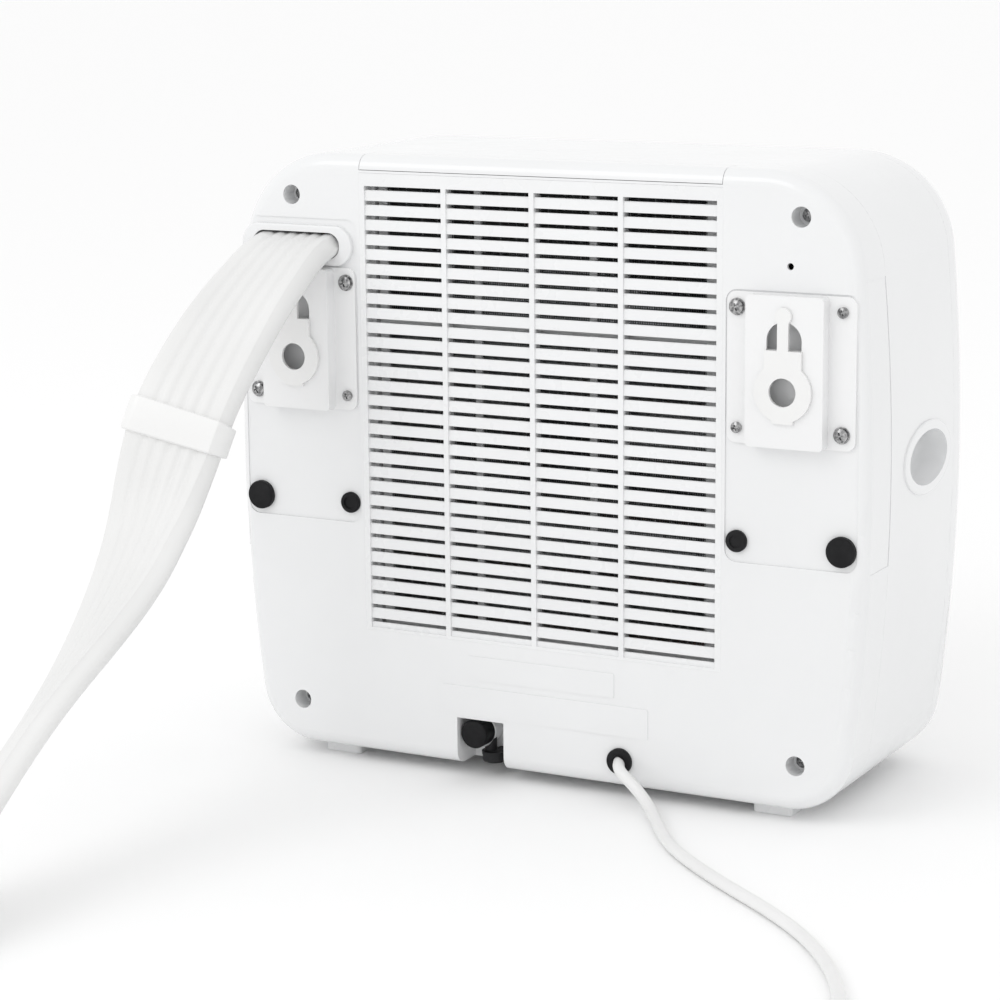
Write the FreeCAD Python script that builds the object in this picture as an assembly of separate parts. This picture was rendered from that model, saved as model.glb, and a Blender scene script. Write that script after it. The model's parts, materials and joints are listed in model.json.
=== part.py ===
"""Outdoor half of a split air conditioner that hangs on a wall, with its flat hose and mains lead.

Frame: origin on the ground at the middle of the cabinet, +X to the left seen from the louvred rear,
+Y out of the louvred rear, +Z up. Millimetres. Each sub-part is one STEP file.
"""
import FreeCAD
import Part
import math
import os

V = FreeCAD.Vector

# cabinet
WIDTH = 471.0            # widest place of the bowed sides
DEPTH = 195.0
TOP_Z = 426.0
BOTTOM_Z = 8.0
FOOT_HEIGHT = BOTTOM_Z
SIDE_BOW_R = 1380.0      # radius of the bowed side walls
SIDE_BOW_Z = 225.0       # height of the widest place
TOP_CORNER_R = 68.0
BOTTOM_CORNER_R = 44.0
REAR_RIM_R = 10.0
FRONT_RIM_R = 28.0
WALL = 2.5
PARTING_GAP = 0.12
PLATE_PROUD = 13.0       # hanging plates stand this far out of the rear face
REAR_Y = (DEPTH + PLATE_PROUD) / 2 - PLATE_PROUD
FRONT_Y = REAR_Y - DEPTH
REAR_COVER_DEPTH = 40.0
FRONT_PANEL_DEPTH = 36.0

# louvred grille and filter
LOUVRE_PITCH = 10.0
LOUVRE_ROWS = 31
LOUVRE_TOP_Z = 404.0
LOUVRE_SET_BACK = 1.0
LOUVRE_THICK = 2.0
BLADE_HEIGHT = 7.2
BLADE_LEAN = 0.8         # the blade's upper edge leans inwards by this much
GRILLE_HALF = 130.0
GRILLE_FRAME = 4.0
GRILLE_RIBS = (-62.0, 3.0, 69.0)
RIB_WIDTH = 3.6
FILTER_HALF = 125.0
FILTER_FRONT = 11.0      # depth of the filter's face behind the rear face
FILTER_THICK = 4.0
HANDLE_Z = 416.3
HANDLE_HALF = 133.5
HANDLE_DEPTH = 22.0
SLIDE_GAP = 0.4

# hanging plates
PLATE_X = 181.0          # middle of the plate
PLATE_INNER, PLATE_OUTER = 138.0, 226.0
PLATE_LOW, PLATE_HIGH = 251.0, 349.0
HAT_HALF = 26.5
HAT_RISE = 10.5
SHEET = 2.0
PLATE_SCREW_X = (145.0, 217.0)
PLATE_SCREW_Z = (261.0, 339.0)
KEYHOLE_Z = 287.5
KEYHOLE_R = 9.2
RING_R = 19.4
ARCH_Z, ARCH_R = 320.0, 12.0
STEM_HALF = 3.75
STEM_TIP_Z, STEM_TIP_R = 336.0, 5.5

# screws, rubber parts, wells
WELL_X, WELL_HIGH_Z, WELL_LOW_Z, WELL_R = 187.5, 397.5, 40.0, 6.65
BUFFER_X, BUFFER_Z, BUFFER_R = 217.5, 185.5, 10.0
PLUG_X, PLUG_Z, PLUG_R = 145.0, 186.0, 7.3
PILOT_X, PILOT_Z, PILOT_R = -180.6, 366.0, 2.25

# flat hose
HOSE_X, HOSE_Z = 183.5, 363.6
HOSE_WIDTH, HOSE_THICK, HOSE_EDGE_R = 67.0, 14.4, 5.5
BEZEL_HALF, BEZEL_R = 43.8, 13.7
SLOT_HALF, SLOT_R = 34.7, 9.0
HOSE_ROUTE = [
    (86, 364.8), (106, 361), (133, 346.5), (168, 324), (207, 296.5), (241, 260), (261, 222), (284, 190),
    (314, 161), (353, 135), (401, 106), (451, 75), (503, 44), (557, 21.5), (617, 10), (690, 7.7), (775, 7.5),
]
COLLAR_AT = (245.0, 256.0)
COLLAR_LONG = 22.0

# mains lead
LEAD_R = 4.0
GROMMET = (-61.4, 27.0)
FLOOR_LEAD_Z = LEAD_R + 0.1
LEAD_START = 1.0
LEAD_ROUTE = [
    (-61.4, REAR_Y + LEAD_START, 27.0), (-64.5, REAR_Y + 11.5, 25.3), (-75, REAR_Y + 13.5, 18.2),
    (-87.5, REAR_Y + 18.5, 10.2), (-102, REAR_Y + 34, 5.0), (-119, REAR_Y + 60, FLOOR_LEAD_Z),
    (-139, REAR_Y + 87, FLOOR_LEAD_Z), (-164, REAR_Y + 111, FLOOR_LEAD_Z), (-201, REAR_Y + 141, FLOOR_LEAD_Z),
    (-241, REAR_Y + 170, FLOOR_LEAD_Z), (-281, REAR_Y + 206, FLOOR_LEAD_Z),
    (-314, REAR_Y + 250, FLOOR_LEAD_Z), (-338, REAR_Y + 300, FLOOR_LEAD_Z),
    (-350, REAR_Y + 353, FLOOR_LEAD_Z), (-352.5, REAR_Y + 408, FLOOR_LEAD_Z),
]
COIL_X, COIL_Y = -300.0, REAR_Y + 414.0
COIL_OUT, COIL_IN, COIL_HEIGHT = 56.5, 31.5, 16.6
TAIL_ROUTE = [
    (-300, COIL_Y + 53.5, 9.0), (-288, COIL_Y + 55, 7.0), (-275, COIL_Y + 58, FLOOR_LEAD_Z),
    (-261, COIL_Y + 61, 6.0), (-247, COIL_Y + 61, 9.0),
]
PLUG_LONG, PLUG_WIDE, PLUG_HIGH = 42.0, 34.0, 18.0

# drain
DRAIN_X0, DRAIN_X1, DRAIN_TOP = 27.0, 63.0, 42.0
DRAIN_DEEP = 26.0
CAP_X, CAP_Z, CAP_R, CAP_LONG = 52.0, 30.0, 10.0, 13.0
SOCKET_R, SOCKET_LONG = 7.4, 10.0
ELBOW_X, ELBOW_R, ELBOW_TOP = 42.3, 8.2, 17.2
ELBOW_BORE_R = 4.0
NECK_X, NECK_R, NECK_TOP = 44.9, 4.3, 26.0

# side grips
GRIP_Y, GRIP_Z = REAR_Y - 106.4, 230.5
GRIP_LONG, GRIP_HIGH = 88.0, 49.0
GRIP_OPEN_LONG, GRIP_OPEN_HIGH = 71.0, 36.5
GRIP_DEEP = 24.0

# feet
FOOT_X, FOOT_WIDE, FOOT_LONG, FOOT_INSET = 165.0, 27.8, 30.0, 16.0

# heat exchanger and fan
COIL_HALF = 132.0
COIL_FACE = 20.0         # depth of the heat exchanger's face behind the rear face
COIL_THICK = 26.0
COIL_LOW_Z, COIL_HIGH_Z = 84.0, 404.0
FIN_PITCH, FIN_THICK = 6.0, 0.6
TUBE_R, TUBE_ROWS = 3.5, 8
PIPE_R = 3.0
FAN_Z = 226.0
FAN_R = 124.0
FAN_HUB_R = 36.0
FAN_BLADES = 7
FAN_Y0, FAN_Y1 = -20.0, 18.0
SHAFT_R = 4.0
SHROUD_Y = REAR_Y - 62.0
GUARD_R = 134.0


def box(x0, x1, y0, y1, z0, z1):
    return Part.makeBox(x1 - x0, y1 - y0, z1 - z0, V(x0, y0, z0))


def rod(x, y, z, r, length, along=V(0, 1, 0)):
    return Part.makeCylinder(r, length, V(x, y, z), along)


def ring(x, y, z, r_out, r_in, length, along=V(0, 1, 0)):
    return rod(x, y, z, r_out, length, along).cut(rod(x, y, z, r_in, length, along))


def joined(shapes):
    shapes = list(shapes)
    return shapes[0].multiFuse(shapes[1:]).removeSplitter() if len(shapes) > 1 else shapes[0]


def stadium(x, z, half, r, y0, y1):
    """An upright bar with round ends, level along X, from y0 to y1."""
    run = half - r
    low, high = z - r, z + r
    edges = [
        Part.LineSegment(V(x - run, y0, low), V(x + run, y0, low)),
        Part.Arc(V(x + run, y0, low), V(x + half, y0, z), V(x + run, y0, high)),
        Part.LineSegment(V(x + run, y0, high), V(x - run, y0, high)),
        Part.Arc(V(x - run, y0, high), V(x - half, y0, z), V(x - run, y0, low)),
    ]
    return Part.Face(Part.Wire([e.toShape() for e in edges])).extrude(V(0, y1 - y0, 0))


def side_oval(y, z, long, high, x0, x1):
    """An elliptical bar along X, from x0 to x1, that is longest along Y."""
    outline = Part.Ellipse(V(x0, y + long / 2, z), V(x0, y, z + high / 2), V(x0, y, z))
    return Part.Face(Part.Wire([outline.toShape()])).extrude(V(x1 - x0, 0, 0))


def soft_box(x0, x1, y0, y1, z0, z1, r, along="Y"):
    """A box with its four edges along one axis rounded."""
    solid = box(x0, x1, y0, y1, z0, z1)
    axis = {"X": V(1, 0, 0), "Y": V(0, 1, 0), "Z": V(0, 0, 1)}[along]
    edges = [e for e in solid.Edges if abs(e.tangentAt(e.FirstParameter).dot(axis)) > 0.99]
    return solid.makeFillet(r, edges)


def cabinet_outline(inset, y):
    """The cabinet seen from the rear: flat top and bottom, bowed sides, four round corners."""
    bow = SIDE_BOW_R - inset
    middle = WIDTH / 2 - SIDE_BOW_R
    top, bottom = TOP_Z - inset, BOTTOM_Z + inset
    corners = []
    for radius, z in ((TOP_CORNER_R, TOP_Z - TOP_CORNER_R), (BOTTOM_CORNER_R, BOTTOM_Z + BOTTOM_CORNER_R)):
        reach = SIDE_BOW_R - radius
        rise = z - SIDE_BOW_Z
        x = middle + math.sqrt(reach ** 2 - rise ** 2)
        unit = V((x - middle) / reach, 0, rise / reach)
        corners.append((x, z, radius - inset, unit))
    (tx, tz, tr, tu), (bx, bz, br, bu) = corners
    side_top = V(middle + bow * tu.x, y, SIDE_BOW_Z + bow * tu.z)
    side_low = V(middle + bow * bu.x, y, SIDE_BOW_Z + bow * bu.z)
    side_mid = V(middle + bow, y, SIDE_BOW_Z)
    diag = math.sqrt(0.5)
    half = [
        (V(tx, y, top), V(tx + tr * diag, y, tz + tr * diag), side_top),
        (side_top, side_mid, side_low),
        (side_low, V(bx + br * diag, y, bz - br * diag), V(bx, y, bottom)),
    ]
    flip = [tuple(V(-p.x, p.y, p.z) for p in reversed(arc)) for arc in reversed(half)]
    edges = [Part.LineSegment(V(-tx, y, top), V(tx, y, top))]
    edges += [Part.Arc(*arc) for arc in half]
    edges += [Part.LineSegment(V(bx, y, bottom), V(-bx, y, bottom))]
    edges += [Part.Arc(*arc) for arc in flip]
    return Part.Wire([e.toShape() for e in edges])


def cabinet_solid(inset):
    """The whole cabinet as a solid, inset from its outer skin, with its two rims rounded."""
    y0, y1 = FRONT_Y + inset, REAR_Y - inset
    solid = Part.Face(cabinet_outline(inset, y0)).extrude(V(0, y1 - y0, 0))
    for y, radius in ((y1, REAR_RIM_R - inset), (y0, FRONT_RIM_R - inset)):
        rim = [e for e in solid.Edges if abs(e.BoundBox.YMin - y) < 1e-4 and abs(e.BoundBox.YMax - y) < 1e-4]
        solid = solid.makeFillet(radius, rim)
    return solid


def slab(y0, y1):
    """Everything between two depths."""
    return box(-WIDTH, WIDTH, y0, y1, -10, TOP_Z + 50)


OUTER = cabinet_solid(0)
INNER = cabinet_solid(WALL)
SHELL = OUTER.cut(INNER)
REAR_JOINT_Y = REAR_Y - REAR_COVER_DEPTH
FRONT_JOINT_Y = FRONT_Y + FRONT_PANEL_DEPTH
PLATE_HOLES = [(s * x, z) for s in (-1, 1) for x in PLATE_SCREW_X for z in PLATE_SCREW_Z]
WELLS = [(s * WELL_X, z) for s in (-1, 1) for z in (WELL_HIGH_Z, WELL_LOW_Z)]
LOUVRE_LOW_Z = LOUVRE_TOP_Z - LOUVRE_PITCH * (LOUVRE_ROWS - 1)
GRILLE_LOW, GRILLE_HIGH = LOUVRE_LOW_Z - 7.0, LOUVRE_TOP_Z + 10.2
POCKET = 1.0
LARGE_SCREW_R, SMALL_SCREW_R = 2.4, 1.9


def is_large(x, z):
    """Each plate has large screws at its upper inner and lower outer corners."""
    return (abs(x) > PLATE_X) == (z < KEYHOLE_Z)


def rear_cover():
    cover = SHELL.common(slab(REAR_JOINT_Y, REAR_Y + 5))
    bosses = [rod(x, REAR_Y - 18, z, WELL_R + 2, 17) for x, z in WELLS]
    pads = [rod(x, REAR_Y - 9, z, 5.5, 8) for x, z in PLATE_HOLES]
    rails = [
        box(s * (FILTER_HALF + 7) - 5, s * (FILTER_HALF + 7) + 5, REAR_Y - 16, REAR_Y - 2, GRILLE_LOW, 412)
        for s in (-1, 1)
    ]
    drain_walls = box(DRAIN_X0 - 2, DRAIN_X1 + 2, REAR_Y - DRAIN_DEEP - 2, REAR_Y - 2,
                      BOTTOM_Z, DRAIN_TOP + 2)
    cover = joined([cover, drain_walls.common(OUTER), *bosses, *pads, *rails])
    cuts = [box(DRAIN_X0, DRAIN_X1, REAR_Y - DRAIN_DEEP, REAR_Y + 1, 0, DRAIN_TOP)]
    cuts += [box(-GRILLE_HALF - GRILLE_FRAME, GRILLE_HALF + GRILLE_FRAME, REAR_Y - 9, REAR_Y + 1,
                 GRILLE_LOW, GRILLE_HIGH)]
    cuts += [box(-HANDLE_HALF - SLIDE_GAP, HANDLE_HALF + SLIDE_GAP, REAR_Y - HANDLE_DEPTH - SLIDE_GAP,
                 REAR_Y + 1, HANDLE_Z - SLIDE_GAP, TOP_Z + 5)]
    cuts += [box(-FILTER_HALF - 1, FILTER_HALF + 1, REAR_Y - HANDLE_DEPTH, REAR_Y - 9, 60, TOP_Z + 5)]
    cuts += [rod(x, REAR_Y - 14, z, WELL_R, 20) for x, z in WELLS]
    cuts += [rod(x, REAR_Y - 19, z, SMALL_SCREW_R + 0.2, 8) for x, z in WELLS]
    cuts += [
        rod(x, REAR_Y - 20, z, (LARGE_SCREW_R if is_large(x, z) else SMALL_SCREW_R) + 0.05, 30)
        for x, z in PLATE_HOLES
    ]
    cuts += [rod(s * BUFFER_X, REAR_Y - 10, BUFFER_Z, 4.05, 20) for s in (-1, 1)]
    cuts += [rod(s * PLUG_X, REAR_Y - 10, PLUG_Z, 4.05, 20) for s in (-1, 1)]
    cuts += [rod(PILOT_X, REAR_Y - 10, PILOT_Z, PILOT_R, 20)]
    cuts += [rod(GROMMET[0], REAR_Y - 10, GROMMET[1], 7.05, 20)]
    cuts += [stadium(HOSE_X, HOSE_Z, BEZEL_HALF - 2, BEZEL_R - 2, REAR_Y - 6, REAR_Y + 2)]
    for x0, x1, top in ((-228.0, -136.5, 350.0), (136.5, 228.0, 382.0)):
        cuts += [soft_box(x0, x1, REAR_Y - POCKET, REAR_Y + 5, 172, top, 8)]
    skin = Part.Face(cabinet_outline(-3, REAR_Y - 60)).extrude(V(0, 70, 0))
    skin = skin.cut(Part.Face(cabinet_outline(0.4, REAR_Y - 60)).extrude(V(0, 70, 0)))
    cuts += [skin.common(box(-WIDTH, WIDTH, REAR_Y - 60, REAR_Y - 7, 170, 358))]
    for cut in cuts:
        cover = cover.cut(cut)
    return cover


def rear_grille():
    """A flush louvre panel: 31 level blades that lean inwards, held by a rim and three upright ribs."""
    outer = box(-GRILLE_HALF - GRILLE_FRAME + 0.03, GRILLE_HALF + GRILLE_FRAME - 0.03, REAR_Y - 8.9, REAR_Y,
                GRILLE_LOW + 0.03, GRILLE_HIGH - 0.1)
    slot = (LOUVRE_PITCH - BLADE_HEIGHT) / 2
    window = box(-GRILLE_HALF, GRILLE_HALF, REAR_Y - 12, REAR_Y + 1, LOUVRE_LOW_Z - 5, LOUVRE_TOP_Z + slot)
    solids = [outer.cut(window)]
    front = REAR_Y - LOUVRE_SET_BACK
    for row in range(LOUVRE_ROWS):
        top = LOUVRE_TOP_Z - LOUVRE_PITCH * row - slot
        low = max(top - BLADE_HEIGHT, GRILLE_LOW + 1)
        corners = [V(0, front, low), V(0, front - 0.3, top - 0.6), V(0, front - BLADE_LEAN, top),
                   V(0, front - LOUVRE_THICK, top), V(0, front - LOUVRE_THICK, low)]
        blade = Part.Face(Part.makePolygon(corners + corners[:1])).extrude(V(2 * GRILLE_HALF + 2, 0, 0))
        blade.translate(V(-GRILLE_HALF - 1, 0, 0))
        solids.append(blade)
    for x in GRILLE_RIBS:
        solids.append(box(x - RIB_WIDTH / 2, x + RIB_WIDTH / 2, REAR_Y - 8.9, REAR_Y,
                          GRILLE_LOW + 0.5, LOUVRE_TOP_Z + 5))
    return joined(solids).common(outer)


def main_shell():
    shell = SHELL.common(slab(FRONT_JOINT_Y + PARTING_GAP, REAR_JOINT_Y - PARTING_GAP))
    posts = []
    for x, z in WELLS:
        out = 1 if x > 0 else -1
        wall_z = TOP_Z - 1 if z > SIDE_BOW_Z else BOTTOM_Z + 1
        low, high = sorted((z, wall_z))
        posts.append(rod(x, REAR_JOINT_Y - 30, z, 5.5, REAR_COVER_DEPTH + 12 - 0.5))
        posts.append(box(x - 1.2, x + 1.2, REAR_JOINT_Y - 30, REAR_JOINT_Y - 1, low, high))
        side_x = out * (WIDTH / 2 + 5)
        x0, x1 = sorted((x, side_x))
        posts.append(box(x0, x1, REAR_JOINT_Y - 30, REAR_JOINT_Y - 1, z - 1.2, z + 1.2))
    shell = joined([shell, *[p.common(OUTER) for p in posts]])
    for x, z in WELLS:
        shell = shell.cut(rod(x, REAR_JOINT_Y - 10, z, SMALL_SCREW_R + 0.05, 60))
    for side in (-1, 1):
        x0, x1 = sorted((side * (WIDTH / 2 - 8), side * (WIDTH / 2 + 5)))
        shell = shell.cut(side_oval(GRIP_Y, GRIP_Z, GRIP_LONG - 6, GRIP_HIGH - 6, x0, x1))
    return shell


def front_panel():
    panel = SHELL.common(slab(FRONT_Y - 5, FRONT_JOINT_Y))
    outlet = rod(0, FRONT_Y - 5, FAN_Z, GUARD_R + 2.2, 30)
    collar = ring(0, FRONT_Y + 1, FAN_Z, GUARD_R + 5, GUARD_R + 2.2, 26)
    return joined([panel.cut(outlet), collar])


def fan_guard():
    """Concentric rings and spokes that close the round air outlet."""
    y, thick = FRONT_Y + 1.5, 4.0
    rings = [ring(0, y, FAN_Z, GUARD_R + 2, GUARD_R - 3, 8)]
    rings += [ring(0, y, FAN_Z, r + 1.3, r - 1.3, thick) for r in range(36, 130, 8)]
    hub = rod(0, y - 0.5, FAN_Z, 28, 5)
    spokes = []
    for k in range(12):
        spoke = box(20, GUARD_R, y + 1, y + 6, FAN_Z - 1.4, FAN_Z + 1.4)
        spoke.rotate(V(0, 0, FAN_Z), V(0, 1, 0), 30 * k + 15)
        spokes.append(spoke)
    return joined([hub, *rings, *spokes])


def filter_frame():
    y0, y1 = REAR_Y - FILTER_FRONT - FILTER_THICK, REAR_Y - FILTER_FRONT
    low, high = GRILLE_LOW + 1, HANDLE_Z - 0.1
    frame = box(-FILTER_HALF, FILTER_HALF, y0, y1, low, high)
    rails = [-FILTER_HALF + 4, -37.0, 49.0, FILTER_HALF - 4]
    beams = [low + 5, 207.0, 314.0, high - 5]
    for x0, x1 in zip(rails, rails[1:]):
        for z0, z1 in zip(beams, beams[1:]):
            frame = frame.cut(box(x0 + 2.5, x1 - 2.5, y0 - 1, y1 + 1, z0 + 2.5, z1 - 2.5))
    groove = box(-FILTER_HALF + 2, FILTER_HALF - 2, y0 + 1.4, y0 + 2.2, low + 2, high - 3)
    return frame.cut(groove)


def filter_mesh():
    y0 = REAR_Y - FILTER_FRONT - FILTER_THICK
    return box(-FILTER_HALF + 2.2, FILTER_HALF - 2.2, y0 + 1.4, y0 + 2.2, GRILLE_LOW + 3.2, HANDLE_Z - 3.3)


def filter_handle():
    """The strip of the top rear rim that lifts the filter out."""
    return OUTER.common(box(-HANDLE_HALF, HANDLE_HALF, REAR_Y - HANDLE_DEPTH, REAR_Y + 1,
                            HANDLE_Z, TOP_Z + 5))


def hanging_plate(side):
    """Pressed plate with a raised middle that carries the keyhole."""
    x0, x1 = PLATE_INNER, PLATE_OUTER
    hat0, hat1 = PLATE_X - HAT_HALF, PLATE_X + HAT_HALF
    seat = REAR_Y - POCKET
    rise = REAR_Y + HAT_RISE
    flange = soft_box(x0, x1, seat, seat + SHEET, PLATE_LOW, PLATE_HIGH, 6)
    hat = soft_box(hat0, hat1, seat, rise, PLATE_LOW, PLATE_HIGH - 0.5, 3)
    hollow = soft_box(hat0 + SHEET, hat1 - SHEET, seat - 1, rise - SHEET, PLATE_LOW + SHEET,
                      PLATE_HIGH - 0.5 - SHEET, 2)
    plate = joined([flange, hat]).cut(hollow)
    plate = plate.cut(rod(PLATE_X, seat, ARCH_Z, ARCH_R, 20))
    plate = plate.cut(rod(PLATE_X, seat, KEYHOLE_Z, ARCH_R, 20))
    plate = plate.cut(box(PLATE_X - ARCH_R, PLATE_X + ARCH_R, seat, rise + 5, KEYHOLE_Z, ARCH_Z))
    for x in PLATE_SCREW_X:
        for z in PLATE_SCREW_Z:
            radius = LARGE_SCREW_R if is_large(x, z) else SMALL_SCREW_R
            plate = plate.cut(rod(x, seat - 1, z, radius + 0.3, 10))
    return plate if side > 0 else plate.mirror(V(0, 0, 0), V(1, 0, 0))


def hook_lock(side):
    """Keyhole ring with a tongue, sliding up and down in the raised middle of its plate."""
    rise = REAR_Y + HAT_RISE
    y0, y1 = rise + 0.2, REAR_Y + PLATE_PROUD
    neck_half = 11.6
    front = joined([
        rod(PLATE_X, y0, KEYHOLE_Z, RING_R, y1 - y0),
        box(PLATE_X - 7, PLATE_X + 7, y0, y1, KEYHOLE_Z - RING_R - 0.8, KEYHOLE_Z),
        box(PLATE_X - neck_half - 1, PLATE_X + neck_half + 1, y0, y1, KEYHOLE_Z, 314),
        box(PLATE_X - STEM_HALF, PLATE_X + STEM_HALF, y0, y1, 310, STEM_TIP_Z),
        rod(PLATE_X, y0, STEM_TIP_Z, STEM_TIP_R, y1 - y0),
    ])
    through = box(PLATE_X - neck_half, PLATE_X + neck_half, rise - SHEET - 0.2, y0, 300, 313)
    back = box(PLATE_X - 17, PLATE_X + 17, rise - SHEET - 1.8, rise - SHEET - 0.2, 299, 314)
    lock = joined([front, through, back]).cut(rod(PLATE_X, y0 - 10, KEYHOLE_Z, KEYHOLE_R, 30))
    return lock if side > 0 else lock.mirror(V(0, 0, 0), V(1, 0, 0))


def pan_screw(x, y, z, head_r, shank_r, length, washer=0.0):
    """A pan-head screw with a cross recess, its head outwards at y."""
    solids = [rod(x, y - length, z, shank_r, length), rod(x, y, z, head_r, 1.6)]
    dome = Part.makeSphere(head_r * 1.6, V(x, y + 1.6 - head_r * 1.25, z))
    solids.append(dome.common(rod(x, y + 1.6, z, head_r, 2)))
    if washer:
        solids.append(rod(x, y - 0.8, z, washer, 0.8))
    screw = joined(solids)
    for turn in (0, 90):
        slot = box(x - head_r * 0.55, x + head_r * 0.55, y + 1.0, y + 6, z - 0.5, z + 0.5)
        slot.rotate(V(x, y, z), V(0, 1, 0), 20 + turn)
        screw = screw.cut(slot)
    return screw


def plate_screws(large):
    seat = REAR_Y - POCKET + SHEET
    screws = []
    for x, z in PLATE_HOLES:
        if is_large(x, z) == large:
            if large:
                screws.append(pan_screw(x, seat + 0.8, z, 4.6, LARGE_SCREW_R, 11, washer=5.6))
            else:
                screws.append(pan_screw(x, seat, z, 3.6, SMALL_SCREW_R, 10))
    return Part.makeCompound(screws)


def cover_screws():
    return Part.makeCompound([pan_screw(x, REAR_Y - 14, z, 4.2, SMALL_SCREW_R, 18) for x, z in WELLS])


def rubber_stop(x, z, radius, proud):
    """A round rubber foot with a stem pressed into the cover."""
    seat = REAR_Y - POCKET
    disc = rod(x, seat, z, radius, POCKET + proud)
    rim = [e for e in disc.Edges if abs(e.BoundBox.YMin - seat - POCKET - proud) < 1e-4 and e.Length > 5]
    disc = disc.makeFillet(1.2, rim)
    return joined([disc, rod(x, seat - 4, z, 4.0, 4)])


def rubber_buffers():
    return Part.makeCompound([rubber_stop(s * BUFFER_X, BUFFER_Z, BUFFER_R, 3.0) for s in (-1, 1)])


def rubber_plugs():
    plugs = []
    for s in (-1, 1):
        plug = rubber_stop(s * PLUG_X, PLUG_Z, PLUG_R, 2.0)
        plug = plug.cut(rod(s * PLUG_X, REAR_Y + 1.0, PLUG_Z, 4.4, 5))
        plugs.append(plug)
    return Part.makeCompound(plugs)


def hose_bezel():
    flange = stadium(HOSE_X, HOSE_Z, BEZEL_HALF, BEZEL_R, REAR_Y - POCKET, REAR_Y + 2.6)
    edge = [e for e in flange.Edges if abs(e.BoundBox.YMin - REAR_Y - 2.6) < 1e-4]
    flange = flange.makeFillet(1.2, edge)
    sleeve = stadium(HOSE_X, HOSE_Z, BEZEL_HALF - 2.1, BEZEL_R - 2.1, REAR_Y - 6, REAR_Y - POCKET)
    return joined([flange, sleeve]).cut(stadium(HOSE_X, HOSE_Z, SLOT_HALF, SLOT_R, REAR_Y - 10, REAR_Y + 5))


def rounded_route(points):
    """Straight runs joined by tangent arcs: a list of (start, end) runs and (start, middle, end) arcs."""
    points = [V(*p) for p in points]
    pieces, at = [], points[0]
    for before, here, after in zip(points, points[1:], points[2:]):
        back, ahead = before - here, after - here
        shorter = min(back.Length, ahead.Length)
        back.normalize()
        ahead.normalize()
        half_turn = (math.pi - back.getAngle(ahead)) / 2
        radius = 0.45 * shorter / math.tan(half_turn)
        start, end = here + back * (0.45 * shorter), here + ahead * (0.45 * shorter)
        inward = back + ahead
        inward.normalize()
        centre = here + inward * (radius / math.cos(half_turn))
        pieces += [(at, start), (start, centre - inward * radius, end)]
        at = end
        print(f"    bend at {here.x:.0f}, {here.y:.0f}, {here.z:.0f}: radius {radius:.0f}")
    return pieces + [(at, points[-1])]


def tube(points, radius):
    """A round tube along the route. Its volume is compared with its section times its length."""
    edges = [
        (Part.Arc(*p) if len(p) == 3 else Part.LineSegment(*p)).toShape() for p in rounded_route(points)
    ]
    path = Part.Wire(edges)
    start, direction = V(*points[0]), V(*points[1]) - V(*points[0])
    section = Part.Wire([Part.makeCircle(radius, start, direction)])
    solid = path.makePipeShell([section], True, False)
    ideal = math.pi * radius ** 2 * path.Length
    print(f"    tube of {path.Length:.0f} mm, volume {solid.Volume / ideal:.4f} of the ideal")
    return solid


def ribbon(points, half, x0, x1):
    """A flat band that bends in a YZ plane: its side view, thickened along the route, drawn out along X."""
    pieces = rounded_route([(x0, y, z) for y, z in points])

    def shifted(piece, by):
        if len(piece) == 2:
            along = piece[1] - piece[0]
            normal = V(0, -along.z, along.y)
            normal.normalize()
            return tuple(p + normal * by for p in piece)
        first, middle, last = piece
        circle = Part.Arc(first, middle, last).toShape().Curve
        centre = circle.Center
        chord = last - first
        turn_up = chord.y * (middle - first).z - chord.z * (middle - first).y
        scale = (circle.Radius + (by if turn_up > 0 else -by)) / circle.Radius
        return tuple(centre + (p - centre) * scale for p in piece)

    lower = [shifted(p, -half) for p in pieces]
    upper = [tuple(reversed(shifted(p, half))) for p in reversed(pieces)]
    loop = lower + [(lower[-1][-1], upper[0][0])] + upper + [(upper[-1][-1], lower[0][0])]
    edges = [(Part.Arc(*p) if len(p) == 3 else Part.LineSegment(*p)).toShape() for p in loop]
    solid = Part.Face(Part.Wire(edges)).extrude(V(x1 - x0, 0, 0))
    length = sum((Part.Arc(*p) if len(p) == 3 else Part.LineSegment(*p)).length() for p in pieces)
    ideal = length * 2 * half * (x1 - x0)
    print(f"    band of {length:.0f} mm, volume {solid.Volume / ideal:.4f} of the ideal")
    return solid


def umbilical_hose():
    """The hose's flat sleeve, its four long edges rounded."""
    x0, x1 = HOSE_X - HOSE_WIDTH / 2, HOSE_X + HOSE_WIDTH / 2
    band = ribbon(HOSE_ROUTE, HOSE_THICK / 2, x0, x1)
    ends = (HOSE_ROUTE[0][0], HOSE_ROUTE[-1][0])
    long_edges = []
    for edge in band.Edges:
        bounds = edge.BoundBox
        on_side = bounds.XLength < 1e-3
        at_end = any(max(abs(bounds.YMin - y), abs(bounds.YMax - y)) < HOSE_THICK / 2 + 1 and edge.Length <
                     HOSE_THICK + 1 for y in ends)
        if on_side and not at_end:
            long_edges.append(edge)
    return band.makeFillet(HOSE_EDGE_R, long_edges)


def hose_collar():
    """A clamp in two halves round the hose, level with the hose's slope."""
    y, z = COLLAR_AT
    half_wide, half_thick = HOSE_WIDTH / 2 + 4.5, HOSE_THICK / 2 + 3.5
    block = box(HOSE_X - half_wide, HOSE_X + half_wide, -half_thick, half_thick,
                -COLLAR_LONG / 2, COLLAR_LONG / 2)
    ends = [e for e in block.Edges if abs(e.tangentAt(e.FirstParameter).z) > 0.99]
    block = block.makeFillet(6.0, ends)
    block.rotate(V(0, 0, 0), V(1, 0, 0), 35)
    block.translate(V(0, y, z))
    clearance = 0.2
    room = ribbon(HOSE_ROUTE, HOSE_THICK / 2 + clearance, HOSE_X - HOSE_WIDTH / 2 - clearance,
                  HOSE_X + HOSE_WIDTH / 2 + clearance)
    return block.cut(room)


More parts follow.
